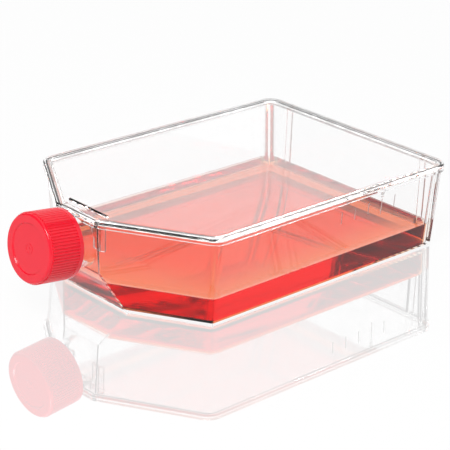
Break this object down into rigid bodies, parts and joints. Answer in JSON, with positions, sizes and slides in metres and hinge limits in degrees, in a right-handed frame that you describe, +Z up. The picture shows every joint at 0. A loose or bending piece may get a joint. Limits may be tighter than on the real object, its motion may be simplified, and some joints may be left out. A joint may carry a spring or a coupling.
{
  "type": "cell culture flask",
  "caption": "Clear flat-sided tissue culture flask lying on its growth face, with slanted shoulders, an upturned neck, a ribbed red screw cap and red medium inside.",
  "frame": {"origin": "bottom centre of the whole flask's box, on the plane that it stands on", "axes": "+X from the neck towards the far end wall, +Z up through the growth face, +Y to the left seen from the cap"},
  "size_m": [0.209, 0.124, 0.0493],
  "materials": {
    "clear_polystyrene": "clear moulded polystyrene, polished",
    "red_medium": "clear red liquid",
    "white_liner": "soft white foam polyethylene",
    "red_polyethylene": "moulded, satin gloss"
  },
  "bodies": {
    "flask": {"flask_body": "clear_polystyrene", "top_plate": "clear_polystyrene", "culture_medium": "red_medium"},
    "liner": {"cap_liner": "white_liner"},
    "cap": {"screw_cap": "red_polyethylene"}
  },
  "joints": [
    {"name": "cap_lift", "type": "slide", "parent": "flask", "child": "liner", "axis": [-0.9925, 0, 0.1219], "range_m": [0, 0.015]},
    {"name": "cap_turn", "type": "hinge", "parent": "liner", "child": "cap", "pos_m": [-0.10272, 0, 0.03347], "axis": [-0.9925, 0, 0.1219], "range_deg": [0, 1080.01]}
  ],
  "couplings": [
    {"joint": "cap_turn", "follows": "cap_lift", "rad_per_m": 1256.6}
  ]
}
